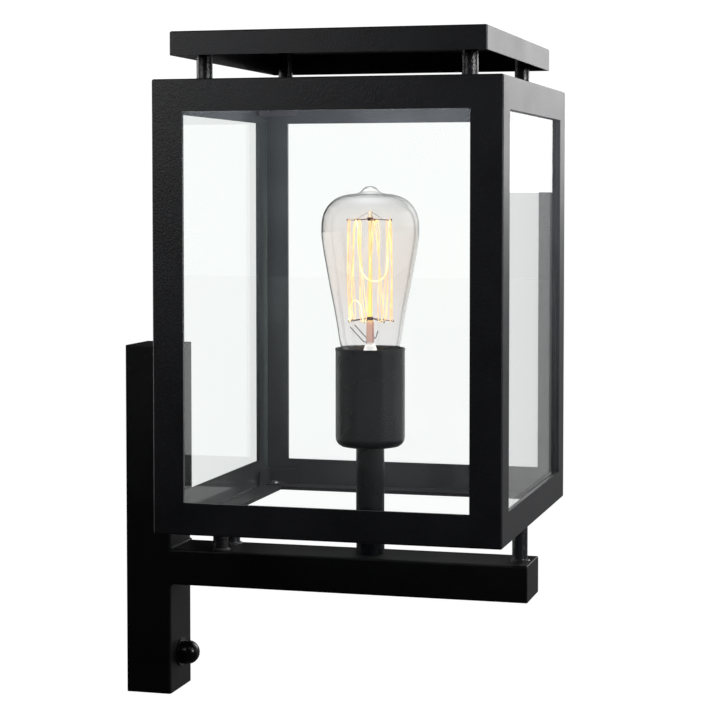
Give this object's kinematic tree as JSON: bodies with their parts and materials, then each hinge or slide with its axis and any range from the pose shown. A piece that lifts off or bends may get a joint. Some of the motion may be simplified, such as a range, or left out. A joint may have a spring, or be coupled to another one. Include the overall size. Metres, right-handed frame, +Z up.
{
  "type": "outdoor wall lantern",
  "caption": "Square glazed box lantern on a wall column and arm, with a raised flat roof, an upright filament bulb and a dome movement sensor.",
  "frame": {"origin": "middle of the wall bracket's back face, on the wall plane", "axes": "+Z up, +Y into the wall, +X along the wall to the right for someone facing the wall"},
  "size_m": [0.22, 0.274, 0.4344],
  "materials": {
    "black_coat": "fine textured powder coat",
    "black_glass": "vitreous",
    "blue_sleeve": "wire insulation",
    "brass": "nickel-free brass",
    "brown_sleeve": "wire insulation",
    "bulb_glass": "clear blown glass",
    "gloss_black_plastic": "polished",
    "glowing_filament": "glowing wire",
    "green_board": "solder mask",
    "green_sleeve": "wire insulation",
    "matte_black_plastic": "moulded",
    "nickel_wire": "drawn nickel",
    "pane_glass": "clear float glass",
    "red_sleeve": "wire insulation",
    "rubber": "soft matte",
    "solder": "solder",
    "white_ceramic": "glazed ceramic",
    "white_plastic": "moulded",
    "zinc_steel": "zinc plated"
  },
  "bodies": {
    "lantern": {"arm_end_cap": "black_coat", "arm_tube": "black_coat", "bottom_rail_left": "black_coat", "bottom_rail_outer": "black_coat", "bottom_rail_right": "black_coat", "bottom_rail_wall": "black_coat", "cable_grommet": "rubber", "centre_contact": "brass", "clip_screws": "zinc_steel", "column_bottom_cap": "black_coat", "column_shell": "black_coat", "column_top_cap": "black_coat", "corner_clips": "black_coat", "earth_screw": "zinc_steel", "earth_tag": "zinc_steel", "holder_body": "white_ceramic", "lamp_cup": "black_coat", "lantern_pins": "black_coat", "lead_earth": "green_sleeve", "lead_live": "brown_sleeve", "lead_neutral": "blue_sleeve", "locking_screw": "zinc_steel", "pane_left": "pane_glass", "pane_outer": "pane_glass", "pane_right": "pane_glass", "pane_wall": "pane_glass", "post_outer_left": "black_coat", "post_outer_right": "black_coat", "post_wall_left": "black_coat", "post_wall_right": "black_coat", "roof_pin_nuts": "zinc_steel", "roof_pins": "black_coat", "roof_tray": "black_coat", "screw_shell": "brass", "sensor_board": "green_board", "sensor_can": "nickel_wire", "sensor_collar": "gloss_black_plastic", "sensor_lens": "gloss_black_plastic", "sensor_nut": "matte_black_plastic", "sensor_relay": "matte_black_plastic", "sensor_wires": "red_sleeve", "stem_tube": "black_coat", "terminal_block": "white_plastic", "terminal_screws": "zinc_steel", "threaded_tube": "zinc_steel", "top_plate": "black_coat", "top_rail_left": "black_coat", "top_rail_outer": "black_coat", "top_rail_right": "black_coat", "top_rail_wall": "black_coat", "tube_nuts": "zinc_steel", "wall_bracket": "zinc_steel"},
    "bulb_end": {"bulb_insulator": "black_glass", "bulb_contact": "solder"},
    "bulb": {"bulb_cap_shell": "brass", "bulb_glass": "bulb_glass", "bulb_mount": "bulb_glass", "bulb_support_wires": "nickel_wire", "bulb_leadin_wires": "nickel_wire", "bulb_filament": "glowing_filament"}
  },
  "joints": [
    {"name": "bulb_rise", "type": "slide", "parent": "lantern", "child": "bulb_end", "axis": [0, 0, 1], "range_m": [0, 0.01452]},
    {"name": "bulb_turn", "type": "hinge", "parent": "bulb_end", "child": "bulb", "pos_m": [0, -0.164, 0.1], "axis": [0, 0, 1], "range_deg": [0, 1440]}
  ],
  "couplings": [
    {"joint": "bulb_turn", "follows": "bulb_rise", "rad_per_m": 1731.4}
  ]
}
